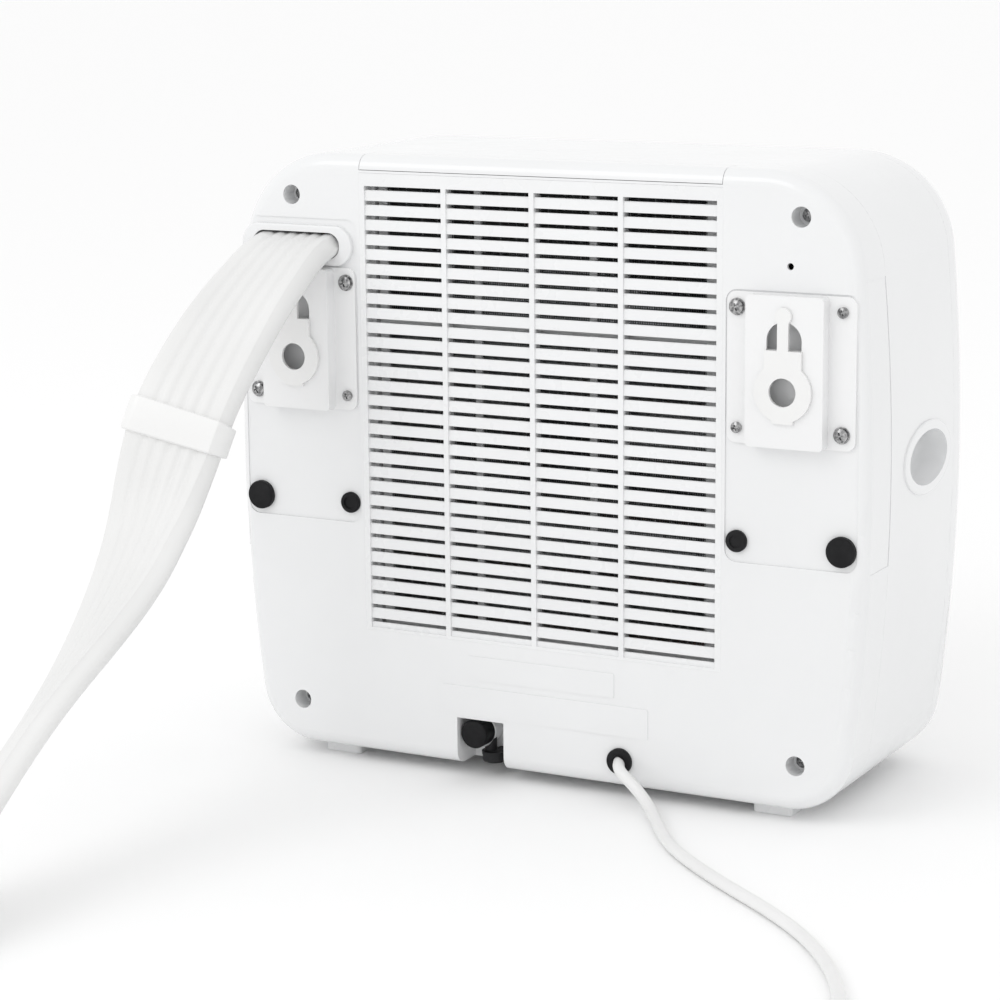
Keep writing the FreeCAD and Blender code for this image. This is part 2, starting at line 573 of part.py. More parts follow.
def hose_coupling():
    """End block of the hose with its two refrigerant couplings and the water spigot."""
    y, z = HOSE_ROUTE[-1]
    block = soft_box(HOSE_X - 36, HOSE_X + 36, y, y + 52, 0.2, 26, 6)
    return block


def coupling_nipples():
    y = HOSE_ROUTE[-1][0] + 52
    nipples = []
    for dx, r in ((-22, 7.0), (0, 7.0), (22, 4.5)):
        x = HOSE_X + dx
        body = joined([rod(x, y, 13, r, 20), rod(x, y + 4, 13, r + 2.5, 7)])
        nipples.append(body.cut(rod(x, y + 6, 13, r - 2, 30)))
    return Part.makeCompound(nipples)


def lead_coil():
    return ring(COIL_X, COIL_Y, 0.1, COIL_OUT, COIL_IN, COIL_HEIGHT, V(0, 0, 1))


def lead_tie():
    """A strap round the coil's bundle."""
    r0, r1 = COIL_IN - 1.6, COIL_OUT + 1.6
    strap = box(r0, r1, -4, 4, 0.05, COIL_HEIGHT + 1.7)
    hole = box(COIL_IN - 0.1, COIL_OUT + 0.1, -5, 5, -1, COIL_HEIGHT + 0.2)
    strap = strap.cut(hole)
    strap.rotate(V(0, 0, 0), V(0, 0, 1), 35)
    strap.translate(V(COIL_X, COIL_Y, 0))
    return strap


def mains_plug():
    x, y, z = TAIL_ROUTE[-1]
    body = soft_box(x, x + PLUG_LONG, y - PLUG_WIDE / 2, y + PLUG_WIDE / 2, z - PLUG_HIGH / 2 + 0.2,
                    z + PLUG_HIGH / 2, 4, along="X")
    return body


def plug_pins():
    x, y, z = TAIL_ROUTE[-1]
    return Part.makeCompound([rod(x + PLUG_LONG, y + s * 9.5, z, 2.0, 19, V(1, 0, 0)) for s in (-1, 1)])


def cord_grommet():
    x, z = GROMMET
    flange = rod(x, REAR_Y, z, 9.0, 3.4)
    rim = [e for e in flange.Edges if abs(e.BoundBox.YMin - REAR_Y - 3.4) < 1e-4 and e.Length > 5]
    flange = flange.makeFillet(1.4, rim)
    nose = Part.makeCone(6.6, 5.0, 22, V(x, REAR_Y - 18, z), V(0, 1, 0))
    stem = rod(x, REAR_Y - 8, z, 7.0, 8)
    return joined([nose, flange, stem]).cut(rod(x, REAR_Y - 30, z, LEAD_R + 0.05, 60))


def lead_inside():
    x, z = GROMMET
    return rod(x, REAR_Y - 40, z, LEAD_R, 40 + LEAD_START)


def drain_socket():
    """White spigot ring in the recess that the drain plug closes."""
    y = REAR_Y - DRAIN_DEEP
    return ring(CAP_X, y, CAP_Z, CAP_R + 0.9, SOCKET_R, SOCKET_LONG)


def drain_plug():
    """Black push-in plug of the drain socket."""
    y = REAR_Y - DRAIN_DEEP
    head = rod(CAP_X, y + SOCKET_LONG + 0.2, CAP_Z, CAP_R, CAP_LONG)
    front = y + SOCKET_LONG + 0.2 + CAP_LONG
    rim = [e for e in head.Edges if abs(e.BoundBox.YMin - front) < 1e-4 and e.Length > 5]
    head = head.makeFillet(1.5, rim)
    return joined([head, rod(CAP_X, y + 2, CAP_Z, SOCKET_R - 0.1, SOCKET_LONG - 1)])


def drain_spout():
    """Black round elbow beside the plug that lets condensate out below. Its neck curves round the plug."""
    low, back = BOTTOM_Z + 1.5, REAR_Y - DRAIN_DEEP
    y = back + ELBOW_R + 2.5
    up = V(0, 0, 1)
    cup = rod(ELBOW_X, y, low, ELBOW_R, ELBOW_TOP - low, up)
    rim = [e for e in cup.Edges if abs(e.BoundBox.ZMax - low) < 1e-4 and e.Length > 5]
    cup = cup.makeFillet(1.6, rim)
    bead = rod(ELBOW_X, y, ELBOW_TOP - 2.4, ELBOW_R + 0.5, 2.4, up)
    neck = rod(NECK_X, y, ELBOW_TOP - 1, NECK_R, NECK_TOP - ELBOW_TOP + 1, up)
    neck = neck.cut(rod(CAP_X, back - 1, CAP_Z, CAP_R + 1.3, 40))
    branch = rod(ELBOW_X, back, low + 4.5, 3.4, 6)
    elbow = max(joined([cup, bead, neck, branch]).Solids, key=lambda solid: solid.Volume)
    return elbow.cut(rod(ELBOW_X, y, low - 1, ELBOW_BORE_R, 7, up))


def rating_frame(x0, x1, z0, z1):
    return soft_box(x0, x1, REAR_Y, REAR_Y + 0.5, z0, z1, 1.5)


def side_grip(side):
    """Oval hand recess in the side wall, closed at its back."""
    face = WIDTH / 2
    rim = side_oval(GRIP_Y, GRIP_Z, GRIP_LONG, GRIP_HIGH, face - 0.4, face + 1.4)
    outer = [e for e in rim.Edges if abs(e.BoundBox.XMin - face - 1.4) < 1e-4]
    rim = rim.makeFillet(1.1, outer)
    cup = side_oval(GRIP_Y, GRIP_Z, GRIP_LONG - 6.6, GRIP_HIGH - 6.6, face - GRIP_DEEP, face)
    inner = [e for e in cup.Edges if abs(e.BoundBox.XMax - face + GRIP_DEEP) < 1e-4]
    cup = cup.makeFillet(7.5, inner)
    hollow = side_oval(GRIP_Y, GRIP_Z, GRIP_OPEN_LONG, GRIP_OPEN_HIGH, face - GRIP_DEEP + 2, face + 5)
    deep = [e for e in hollow.Edges if abs(e.BoundBox.XMax - face + GRIP_DEEP - 2) < 1e-4]
    hollow = hollow.makeFillet(7.0, deep)
    skin = cabinet_solid(WALL)
    grip = joined([rim, cup]).cut(hollow)
    grip = grip.cut(OUTER.cut(skin).cut(side_oval(GRIP_Y, GRIP_Z, GRIP_LONG - 6, GRIP_HIGH - 6, 100, 300)))
    grip = max(grip.Solids, key=lambda s: s.Volume)
    return grip if side > 0 else grip.mirror(V(0, 0, 0), V(1, 0, 0))


def foot(x, y):
    """Rubber foot under the floor of the cabinet."""
    return soft_box(x - FOOT_WIDE / 2, x + FOOT_WIDE / 2, y - FOOT_LONG, y, 0, FOOT_HEIGHT, 3, along="Z")


def coil_tubes():
    """Serpentine tube through the fins."""
    y = REAR_Y - COIL_FACE - COIL_THICK / 2
    pitch = (COIL_HIGH_Z - COIL_LOW_Z) / TUBE_ROWS
    reach = COIL_HALF + 8
    heights = [COIL_LOW_Z + pitch * (k + 0.5) for k in range(TUBE_ROWS)]
    edges = []
    for k, z in enumerate(heights):
        way = -1 if k % 2 == 0 else 1
        edges.append(Part.LineSegment(V(-way * reach, y, z), V(way * reach, y, z)))
        if k + 1 < TUBE_ROWS:
            top = heights[k + 1]
            edges.append(Part.Arc(V(way * reach, y, z), V(way * (reach + pitch / 2), y, (z + top) / 2),
                                  V(way * reach, y, top)))
    path = Part.Wire([e.toShape() for e in edges])
    section = Part.Wire([Part.makeCircle(TUBE_R, V(reach, y, heights[0]), V(1, 0, 0))])
    return path.makePipeShell([section], True, False)


def tube_holes():
    y = REAR_Y - COIL_FACE - COIL_THICK / 2
    pitch = (COIL_HIGH_Z - COIL_LOW_Z) / TUBE_ROWS
    return [
        rod(-COIL_HALF - 8, y, COIL_LOW_Z + pitch * (k + 0.5), TUBE_R + 0.05, 2 * COIL_HALF + 16, V(1, 0, 0))
        for k in range(TUBE_ROWS)
    ]


def coil_fins():
    y1 = REAR_Y - COIL_FACE
    fins = []
    count = int(2 * (COIL_HALF - 6) / FIN_PITCH)
    for k in range(count + 1):
        x = -COIL_HALF + 6 + FIN_PITCH * k
        fins.append(box(x, x + FIN_THICK, y1 - COIL_THICK, y1, COIL_LOW_Z, COIL_HIGH_Z))
    holes = Part.makeCompound(tube_holes())
    return Part.makeCompound([fin.cut(holes) for fin in fins])


def coil_end_plates():
    y1 = REAR_Y - COIL_FACE
    plates = []
    for s in (-1, 1):
        x = s * (COIL_HALF + 1)
        plate = box(x - 0.8, x + 0.8, y1 - COIL_THICK, y1, COIL_LOW_Z - 10, COIL_HIGH_Z + 5)
        plates.append(plate.cut(Part.makeCompound(tube_holes())))
    return Part.makeCompound(plates)


def fan_shroud():
    """Wall across the cabinet with the fan's round throat."""
    inside = cabinet_solid(WALL + 0.3).common(slab(SHROUD_Y - 3, SHROUD_Y))
    throat = ring(0, SHROUD_Y - 44, FAN_Z, FAN_R + 6, FAN_R + 4, 44)
    wall = inside.cut(rod(0, SHROUD_Y - 5, FAN_Z, FAN_R + 4, 20))
    for x, z in WELLS:
        wall = wall.cut(rod(x, SHROUD_Y - 5, z, 7.5, 10))
        low, high = sorted((z, TOP_Z if z > SIDE_BOW_Z else BOTTOM_Z))
        wall = wall.cut(box(x - 2, x + 2, SHROUD_Y - 5, SHROUD_Y + 5, low, high))
        x0, x1 = sorted((x, (1 if x > 0 else -1) * WIDTH / 2))
        wall = wall.cut(box(x0, x1, SHROUD_Y - 5, SHROUD_Y + 5, z - 2, z + 2))
    for side in (-1, 1):
        x0, x1 = sorted((side * (WIDTH / 2 - GRIP_DEEP - 2), side * WIDTH))
        wall = wall.cut(box(x0, x1, SHROUD_Y - 5, SHROUD_Y + 5,
                            GRIP_Z - GRIP_HIGH / 2, GRIP_Z + GRIP_HIGH / 2))
    wall = max(wall.Solids, key=lambda solid: solid.Volume)
    return joined([wall, throat])


def fan_impeller():
    hub = rod(0, FAN_Y0, FAN_Z, FAN_HUB_R, FAN_Y1 - FAN_Y0)
    hub = hub.cut(rod(0, FAN_Y0 - 1, FAN_Z, FAN_HUB_R - 3, FAN_Y1 - FAN_Y0 - 5))
    boss = rod(0, FAN_Y0 + 6, FAN_Z, 9, FAN_Y1 - FAN_Y0 - 7)
    trim = ring(0, FAN_Y0, FAN_Z, FAN_R, FAN_HUB_R - 1.5, FAN_Y1 - FAN_Y0)
    middle = (FAN_Y0 + FAN_Y1) / 2
    blades = []
    for k in range(FAN_BLADES):
        blade = ring(0, 0, 0, 60, 57.6, FAN_R, V(1, 0, 0)).common(box(0, FAN_R, -34, 34, 40, 70))
        blade.translate(V(0, 0, -56))
        blade.rotate(V(0, 0, 0), V(1, 0, 0), 32)
        blade.translate(V(0, middle, FAN_Z))
        blade.rotate(V(0, 0, FAN_Z), V(0, 1, 0), 360.0 * k / FAN_BLADES)
        blades.append(blade.common(trim))
    return joined([hub, boss, *blades]).cut(rod(0, FAN_Y0 - 5, FAN_Z, SHAFT_R + 0.02, 60))


def fan_shaft():
    return rod(0, FAN_Y0 - 20, FAN_Z, SHAFT_R, FAN_Y1 - FAN_Y0 + 18)


def fan_motor():
    body = rod(0, FAN_Y0 - 62, FAN_Z, 41, 50)
    rims = [e for e in body.Edges if e.Length > 200]
    return body.makeFillet(5, rims).cut(rod(0, FAN_Y0 - 30, FAN_Z, SHAFT_R + 0.05, 40))


def motor_bracket():
    """Cross of flat bars that holds the motor in front of the throat."""
    y = FAN_Y0 - 12
    bars = [box(-FAN_R - 26, FAN_R + 26, y, y + 3, FAN_Z + dz - 7, FAN_Z + dz + 7) for dz in (-30, 30)]
    hoop = ring(0, y, FAN_Z, 44, 14, 3)
    legs = [
        box(s * (FAN_R + 18) - 7, s * (FAN_R + 18) + 7, y + 3, SHROUD_Y - 3, FAN_Z + dz - 7, FAN_Z + dz + 7)
        for s in (-1, 1) for dz in (-30, 30)
    ]
    return joined([*bars, hoop, *legs])


def drain_pan():
    """Tray under the heat exchanger."""
    y0, y1 = REAR_Y - COIL_FACE - COIL_THICK - 6, REAR_Y - COIL_FACE + 3
    tray = box(-150, 150, y0, y1, 56, 74)
    return tray.cut(box(-148, 148, y0 + 2, y1 - 2, 58, 80))


def wiring_box():
    case = box(-150, -72, -20, 22, 14, 50)
    return case.cut(box(-148, -74, -18, 20, 16, 52))


def wiring_lid():
    return box(-150, -72, -20, 22, 50, 52)


def capacitor():
    return rod(-140, 2, 30, 11, 40, V(1, 0, 0))


def terminal_block():
    block = box(-94, -80, -14, 16, 16.0, 32)
    cuts = [rod(-87, y, 27, 2.2, 8, V(0, 0, 1)) for y in range(-10, 16, 6)]
    return block.cut(Part.makeCompound(cuts))


def refrigerant_pipes():
    """Two copper lines from the hose slot to the heat exchanger's ends."""
    y = REAR_Y - COIL_FACE - COIL_THICK / 2
    pitch = (COIL_HIGH_Z - COIL_LOW_Z) / TUBE_ROWS
    top = COIL_LOW_Z + pitch * (TUBE_ROWS - 0.5)
    low = COIL_LOW_Z + pitch / 2
    x, slot_y = COIL_HALF + 8, REAR_Y - 8
    gas = [(x, y, top), (x + 18, y, top), (x + 31, y + 8, top - 8), (x + 34, y + 18, HOSE_Z),
           (x + 34, slot_y, HOSE_Z)]
    liquid = [(x, y, low), (x + 24, y, low), (x + 46, y, low + 22), (x + 50, y - 2, low + 80),
              (x + 50, y - 2, HOSE_Z - 60), (x + 52, y + 4, HOSE_Z - 16), (x + 54, y + 14, HOSE_Z),
              (x + 54, slot_y, HOSE_Z)]
    return Part.makeCompound([tube(gas, PIPE_R), tube(liquid, PIPE_R)])


def export(name, shape):
    solids = shape.Solids
    shape = solids[0] if len(solids) == 1 else Part.makeCompound(solids)
    bounds = shape.BoundBox
    print(f"{name}: {len(solids)} solid(s), valid {shape.isValid()}, {shape.Volume / 1000:.1f} cm3, "
          f"x {bounds.XMin:.1f}..{bounds.XMax:.1f} y {bounds.YMin:.1f}..{bounds.YMax:.1f} "
          f"z {bounds.ZMin:.1f}..{bounds.ZMax:.1f}")
    shape.exportStep(f"parts/{name}.step")


def main():
    os.makedirs("parts", exist_ok=True)
    parts = {
        "rear_cover": rear_cover(),
        "rear_grille": rear_grille(),
        "main_shell": main_shell(),
        "front_panel": front_panel(),
        "fan_guard": fan_guard(),
        "filter_frame": filter_frame(),
        "filter_mesh": filter_mesh(),
        "filter_handle": filter_handle(),
        "plate_screws_large": plate_screws(True),
        "plate_screws_small": plate_screws(False),
        "cover_screws": cover_screws(),
        "rubber_buffers": rubber_buffers(),
        "rubber_plugs": rubber_plugs(),
        "hose_bezel": hose_bezel(),
        "umbilical_hose": umbilical_hose(),
        "hose_collar": hose_collar(),
        "hose_coupling": hose_coupling(),
        "coupling_nipples": coupling_nipples(),
        "cord_grommet": cord_grommet(),
        "lead_inside": lead_inside(),
        "lead_run": tube(LEAD_ROUTE, LEAD_R),
        "lead_coil": lead_coil(),
        "lead_tie": lead_tie(),
        "lead_tail": tube(TAIL_ROUTE, LEAD_R),
        "mains_plug": mains_plug(),
        "plug_pins": plug_pins(),
        "drain_socket": drain_socket(),
        "drain_plug": drain_plug(),
        "drain_spout": drain_spout(),
        "rating_plate_upper": rating_frame(-57, 54, 70, 87),
        "rating_plate_lower": rating_frame(-82, 75, 44, 65),
        "coil_tubes": coil_tubes(),
        "coil_fins": coil_fins(),
        "coil_end_plates": coil_end_plates(),
        "fan_shroud": fan_shroud(),
        "fan_impeller": fan_impeller(),
        "fan_shaft": fan_shaft(),
        "fan_motor": fan_motor(),
        "motor_bracket": motor_bracket(),
        "drain_pan": drain_pan(),
        "wiring_box": wiring_box(),
        "wiring_lid": wiring_lid(),
        "capacitor": capacitor(),
        "terminal_block": terminal_block(),
        "refrigerant_pipes": refrigerant_pipes(),
    }
    for side, word in ((1, "left"), (-1, "right")):
        parts[f"hanging_plate_{word}"] = hanging_plate(side)
        parts[f"hook_lock_{word}"] = hook_lock(side)
        parts[f"side_grip_{word}"] = side_grip(side)
        for y, end in ((REAR_Y - FOOT_INSET, "rear"), (FRONT_Y + FOOT_INSET + 14 + FOOT_LONG, "front")):
            parts[f"foot_{end}_{word}"] = foot(side * FOOT_X, y)
    for name, shape in parts.items():
        export(name, shape)


main()
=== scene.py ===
"""The visual model of the air conditioner unit: hose, mains lead, filter mesh, materials and a plain studio.

Metres, in the CAD's frame: +X to the left seen from the louvred rear, +Y out of that rear face, +Z up.
"""
import json
import math

import bmesh
import bpy
from mathutils import Matrix, Vector


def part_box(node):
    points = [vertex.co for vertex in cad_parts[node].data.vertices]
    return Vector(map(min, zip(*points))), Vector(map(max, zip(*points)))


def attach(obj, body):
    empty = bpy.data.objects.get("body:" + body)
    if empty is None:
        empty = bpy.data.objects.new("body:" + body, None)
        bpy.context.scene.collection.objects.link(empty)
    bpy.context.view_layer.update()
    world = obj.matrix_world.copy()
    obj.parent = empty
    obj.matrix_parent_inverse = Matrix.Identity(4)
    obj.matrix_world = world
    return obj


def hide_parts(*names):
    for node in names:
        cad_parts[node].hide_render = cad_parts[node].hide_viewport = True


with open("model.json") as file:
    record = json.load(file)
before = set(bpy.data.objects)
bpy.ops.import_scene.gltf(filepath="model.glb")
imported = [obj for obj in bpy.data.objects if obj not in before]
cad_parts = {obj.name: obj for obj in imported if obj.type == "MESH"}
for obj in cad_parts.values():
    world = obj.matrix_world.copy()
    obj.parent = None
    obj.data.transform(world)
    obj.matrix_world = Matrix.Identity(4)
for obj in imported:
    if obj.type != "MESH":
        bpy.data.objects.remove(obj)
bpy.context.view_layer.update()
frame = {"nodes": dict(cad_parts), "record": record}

MM = 0.001
scene = bpy.context.scene
nodes = frame["nodes"]


# ---------------------------------------------------------------- camera
CAMERA_AT = Vector((-0.8809, 1.7982, 0.5935))
CAMERA_LOOK = Vector((0.4604, -0.8648, -0.2004))
CAMERA_UP = Vector((0.0860, -0.1812, 0.9797))
CAMERA_LENS = 105.55


def make_camera():
    data = bpy.data.cameras.new("studio_camera")
    data.lens = CAMERA_LENS
    data.sensor_width = 36.0
    camera = bpy.data.objects.new("studio_camera", data)
    scene.collection.objects.link(camera)
    look = CAMERA_LOOK.normalized()
    right = look.cross(CAMERA_UP).normalized()
    up = right.cross(look)
    turn = Matrix((right, up, -look)).transposed().to_4x4()
    camera.matrix_world = Matrix.Translation(CAMERA_AT) @ turn
    scene.camera = camera


make_camera()


# ---------------------------------------------------------------- helpers
def add_object(name, data):
    piece = bpy.data.objects.new(name, data)
    scene.collection.objects.link(piece)
    return piece


def nurbs(name, points, resolution=10):
    """An open curve of one smooth spline with these control points."""
    data = bpy.data.curves.new(name, "CURVE")
    data.dimensions = "3D"
    data.resolution_u = resolution
    spline = data.splines.new("NURBS")
    spline.points.add(len(points) - 1)
    for point, place in zip(spline.points, points):
        point.co = (*place, 1.0)
    spline.order_u = 3
    spline.use_endpoint_u = True
    return data


def centreline(name, points):
    """The line that the smooth spline with these control points follows."""
    curve = nurbs(name, points)
    holder = add_object(name, curve)
    mesh = bpy.data.meshes.new_from_object(holder)
    line = [vertex.co.copy() for vertex in mesh.vertices]
    bpy.data.objects.remove(holder)
    bpy.data.curves.remove(curve)
    bpy.data.meshes.remove(mesh)
    return line


class Walk:
    """A polyline that is read by the distance along it."""

    def __init__(self, line):
        self.line = line
        self.far = [0.0]
        for a, b in zip(line, line[1:]):
            self.far.append(self.far[-1] + (b - a).length)
        self.length = self.far[-1]

    def point(self, s):
        s = min(max(s, 0.0), self.length)
        k = 0
        while k < len(self.far) - 2 and self.far[k + 1] < s:
            k += 1
        step = self.far[k + 1] - self.far[k]
        return self.line[k].lerp(self.line[k + 1], (s - self.far[k]) / step)

    def along(self, s, reach=0.006):
        return (self.point(s + reach) - self.point(s - reach)).normalized()


def smooth_step(value, low, high):
    t = min(max((value - low) / (high - low), 0.0), 1.0)
    return t * t * (3 - 2 * t)


def loft(name, rings):
    """A closed mesh through equal rings of points."""
    mesh = bpy.data.meshes.new(name)
    bm = bmesh.new()
    rows = [[bm.verts.new(p) for p in ring] for ring in rings]
    for here, ahead in zip(rows, rows[1:]):
        count = len(here)
        for k in range(count):
            n = (k + 1) % count
            bm.faces.new((here[k], here[n], ahead[n], ahead[k]))
    bm.faces.new(list(reversed(rows[0])))
    bm.faces.new(rows[-1])
    bmesh.ops.recalc_face_normals(bm, faces=bm.faces)
    for face in bm.faces:
        face.smooth = len(face.verts) == 4
    bm.to_mesh(mesh)
    bm.free()
    return add_object(name, mesh)


# ---------------------------------------------------------------- cords: the flat hose
HOSE_WIDTH, HOSE_THICK = 67.0 * MM, 14.4 * MM
HOSE_ROUTE = [
    (183.5, 86, 364.8), (183.5, 106, 361), (181, 134, 349), (180, 169, 330), (178, 207, 305),
    (182, 237, 272), (189, 250, 234), (190, 268, 199), (189, 298, 165), (188, 338, 135), (188, 389, 104),
    (188, 442, 73), (188, 497, 43), (186, 553, 21), (185, 615, 10), (184, 689, 7.7), (183.5, 775, 7.5),
]
HOSE_RIBS = 6
RIB_PITCH = 9.2 * MM
GROOVE_DEEP, GROOVE_WIDE = 1.1 * MM, 2.2 * MM
HOSE_CORNER_R = 6.4 * MM
FLAT_STEPS, CORNER_STEPS = 54, 8               # points across the band's flat side and round its corner
HOSE_STEP = 4.0 * MM
# How far the band turns about its own line, and where each turn starts, is full, eases off and ends.
HOSE_TURNS = (
    (math.radians(-17.5), 0.0, 0.18, 0.18, 0.28),
    (math.radians(41), 0.19, 0.44, 0.44, 0.70),
)


def hose_profile(grow=0.0, grooves=True):
    """The band's section, as (across, through) points round it, grown by a margin."""
    half, thick, corner = HOSE_WIDTH / 2 + grow, HOSE_THICK / 2 + grow, HOSE_CORNER_R + grow * 0.6
    valleys = [(k - (HOSE_RIBS - 2) / 2) * RIB_PITCH for k in range(HOSE_RIBS - 1)]

    def height(across):
        dip = sum(math.exp(-((across - v) / GROOVE_WIDE) ** 2) for v in valleys) if grooves else 0.0
        return thick - GROOVE_DEEP * dip

    flat = half - corner
    half_loop = []
    for k in range(FLAT_STEPS + 1):
        across = flat - 2 * flat * k / FLAT_STEPS
        half_loop.append((across, height(across)))
    for k in range(1, CORNER_STEPS):
        a = math.pi / 2 + math.pi / 2 * k / CORNER_STEPS
        half_loop.append((-flat + corner * math.cos(a), thick - corner + corner * math.sin(a)))
    half_loop.append((-half, thick - corner))
    return half_loop + [(-a, -b) for a, b in half_loop]


def hose_frame(walk, s):
    """Where the band is at a distance along it, and its directions across and through."""
    along = walk.along(s)
    across = Vector((1, 0, 0))
    across = (across - along * across.dot(along)).normalized()
    through = along.cross(across)
    angle = 0.0
    for full, start, reached, easing, end in HOSE_TURNS:
        angle += full * (smooth_step(s, start, reached) - smooth_step(s, easing, end))
    turn = Matrix.Rotation(angle, 3, along)
    return walk.point(s), turn @ across, turn @ through


def band(name, walk, start, end, profile_at, step):
    count = max(2, round((end - start) / step))
    rings = []
    for k in range(count + 1):
        s = start + (end - start) * k / count
        middle, across, through = hose_frame(walk, s)
        rings.append([middle + across * a + through * b for a, b in profile_at(s)])
    return loft(name, rings)


hose_line = centreline("hose_line", [Vector(p) * MM for p in HOSE_ROUTE])
hose_walk = Walk(hose_line)
ribbed = hose_profile()
hose = band("flat_hose", hose_walk, 0.0, hose_walk.length, lambda s: ribbed, HOSE_STEP)
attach(hose, "cabinet")
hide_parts("umbilical_hose")


def nearest(walk, place):
    """The distance along the line where it passes closest to a place."""
    steps = 400
    stations = (walk.length * k / steps for k in range(steps + 1))
    return min(stations, key=lambda s: (walk.point(s) - place).length)


COLLAR_LONG = 22.0 * MM
COLLAR_WALL = 3.3 * MM
COLLAR_EDGE_WALL = 0.4 * MM
COLLAR_ROUND = 1.2 * MM
COLLAR_AT = Vector((0.1844, 0.241, 0.2593))
collar_s = nearest(hose_walk, COLLAR_AT)


def collar_profile(s):
    """The clamp's section: its wall draws in at both ends of the clamp."""
    from_end = min(s - (collar_s - COLLAR_LONG / 2), collar_s + COLLAR_LONG / 2 - s)
    t = min(max(from_end / COLLAR_ROUND, 0.0), 1.0)
    grow = COLLAR_EDGE_WALL + (COLLAR_WALL - COLLAR_EDGE_WALL) * math.sqrt(1 - (1 - t) ** 2)
    return hose_profile(grow, grooves=False)


collar = band(
    "hose_clamp", hose_walk, collar_s - COLLAR_LONG / 2, collar_s + COLLAR_LONG / 2, collar_profile, 0.5 * MM)
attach(collar, "cabinet")
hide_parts("hose_collar")


# ---------------------------------------------------------------- cords: the mains lead
LEAD_R = 4.0 * MM
FLOOR_LEAD = 4.1                               # height of the lead's line where it lies on the floor, mm
REAR_MM = 91.0                                 # depth of the louvred face, mm
LEAD_ROUTE = [
    (-61.4, REAR_MM + 1, 27.0), (-64.5, REAR_MM + 11.5, 25.3), (-75, REAR_MM + 13.5, 18.2),
    (-87.5, REAR_MM + 18.5, 10.2), (-102, REAR_MM + 34, 5.0), (-119, REAR_MM + 60, FLOOR_LEAD),
    (-139, REAR_MM + 87, FLOOR_LEAD), (-164, REAR_MM + 111, FLOOR_LEAD), (-201, REAR_MM + 141, FLOOR_LEAD),
    (-241, REAR_MM + 170, FLOOR_LEAD), (-281, REAR_MM + 206, FLOOR_LEAD),
    (-314, REAR_MM + 250, FLOOR_LEAD), (-338, REAR_MM + 300, FLOOR_LEAD), (-350, REAR_MM + 353, FLOOR_LEAD),
]
COIL_X, COIL_Y = -300.0, REAR_MM + 414.0
COIL_START, COIL_TURNS, COIL_POINTS = math.radians(184), 4.26, 14
COIL_WIDE, COIL_NARROW = 53.2, 36.8
COIL_RISE_FROM, COIL_RISE_TO = 1.95, 2.32
COIL_UPPER = 12.5
LEAD_TAIL = [
    (-288, COIL_Y + 55, 9.0), (-275, COIL_Y + 58, 5.2),
    (-261, COIL_Y + 61, 6.0), (-247, COIL_Y + 61, 9.0),
]


def coil_points():
    """Two layers of turns: the lower one winds inwards and the upper one back out."""
    made = []
    steps = round(COIL_TURNS * COIL_POINTS)
    for k in range(steps + 1):
        turn = COIL_TURNS * k / steps
        inwards = min(turn / COIL_RISE_FROM, 1.0)
        outwards = max((turn - COIL_RISE_TO) / (COIL_TURNS - COIL_RISE_TO), 0.0)
        radius = COIL_WIDE + (COIL_NARROW - COIL_WIDE) * (inwards - outwards)
        height = FLOOR_LEAD + (COIL_UPPER - FLOOR_LEAD) * smooth_step(turn, COIL_RISE_FROM, COIL_RISE_TO)
        angle = COIL_START - 2 * math.pi * turn
        made.append((COIL_X + radius * math.cos(angle), COIL_Y + radius * math.sin(angle), height))
    return made


lead_points = [Vector(p) * MM for p in LEAD_ROUTE + coil_points() + LEAD_TAIL]
lead_line = centreline("lead_line", lead_points)
lead_curve = nurbs("lead_curve", lead_points, resolution=6)
lead_curve.bevel_depth = LEAD_R
lead_curve.bevel_resolution = 5
lead_curve.use_fill_caps = True
lead_holder = add_object("lead_curve", lead_curve)
lead = add_object("mains_lead", bpy.data.meshes.new_from_object(lead_holder))
bpy.data.objects.remove(lead_holder)
bpy.data.curves.remove(lead_curve)
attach(lead, "cabinet")
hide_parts("lead_run", "lead_coil", "lead_tail")


# ---------------------------------------------------------------- the mains plug
PLUG_LONG = 42.0 * MM
BOOT_LONG, BOOT_RIBS = 13.0 * MM, 4


def rounded_ring(x, y, z, half_wide, half_high, corner, count=8):
    """A rounded rectangle that faces along X."""
    ring = []
    for cy, cz, start in ((1, 1, 0), (-1, 1, 90), (-1, -1, 180), (1, -1, 270)):
        for k in range(count + 1):
            a = math.radians(start + 90 * k / count)
            ring.append(Vector((
                x,
                y + cy * (half_wide - corner) + corner * math.cos(a),
                z + cz * (half_high - corner) + corner * math.sin(a),
            )))
    return ring


def make_plug():
    """A ribbed boot that opens into a waisted body. Each ring: place, half width, half height, corner."""
    low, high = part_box("mains_plug")
    middle = (low + high) / 2
    rings = []
    for k in range(BOOT_RIBS):
        for part, shrink in ((0.0, 1.0), (0.45, 1.0), (0.5, 0.8), (0.95, 0.8)):
            t = (k + part) / BOOT_RIBS
            radius = (5.0 + 2.2 * t) * MM * shrink
            rings.append((low.x + BOOT_LONG * t, radius, radius, radius * 0.98))
    for t, wide, deep, corner in (
        (0.33, 9.5, 6.6, 6.0), (0.40, 14.5, 8.0, 6.6), (0.50, 16.6, 8.7, 6.4), (0.62, 16.2, 8.5, 6.0),
        (0.74, 15.2, 8.1, 5.6), (0.86, 16.2, 8.5, 5.4), (0.94, 17.0, 8.75, 5.0), (0.98, 16.6, 8.4, 4.8),
        (1.0, 15.6, 7.6, 4.4),
    ):
        rings.append((low.x + PLUG_LONG * t, wide * MM, deep * MM, corner * MM))
    return loft("plug_body", [rounded_ring(x, middle.y, middle.z, w, h, c) for x, w, h, c in rings])


plug = make_plug()
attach(plug, "cabinet")
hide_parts("mains_plug")


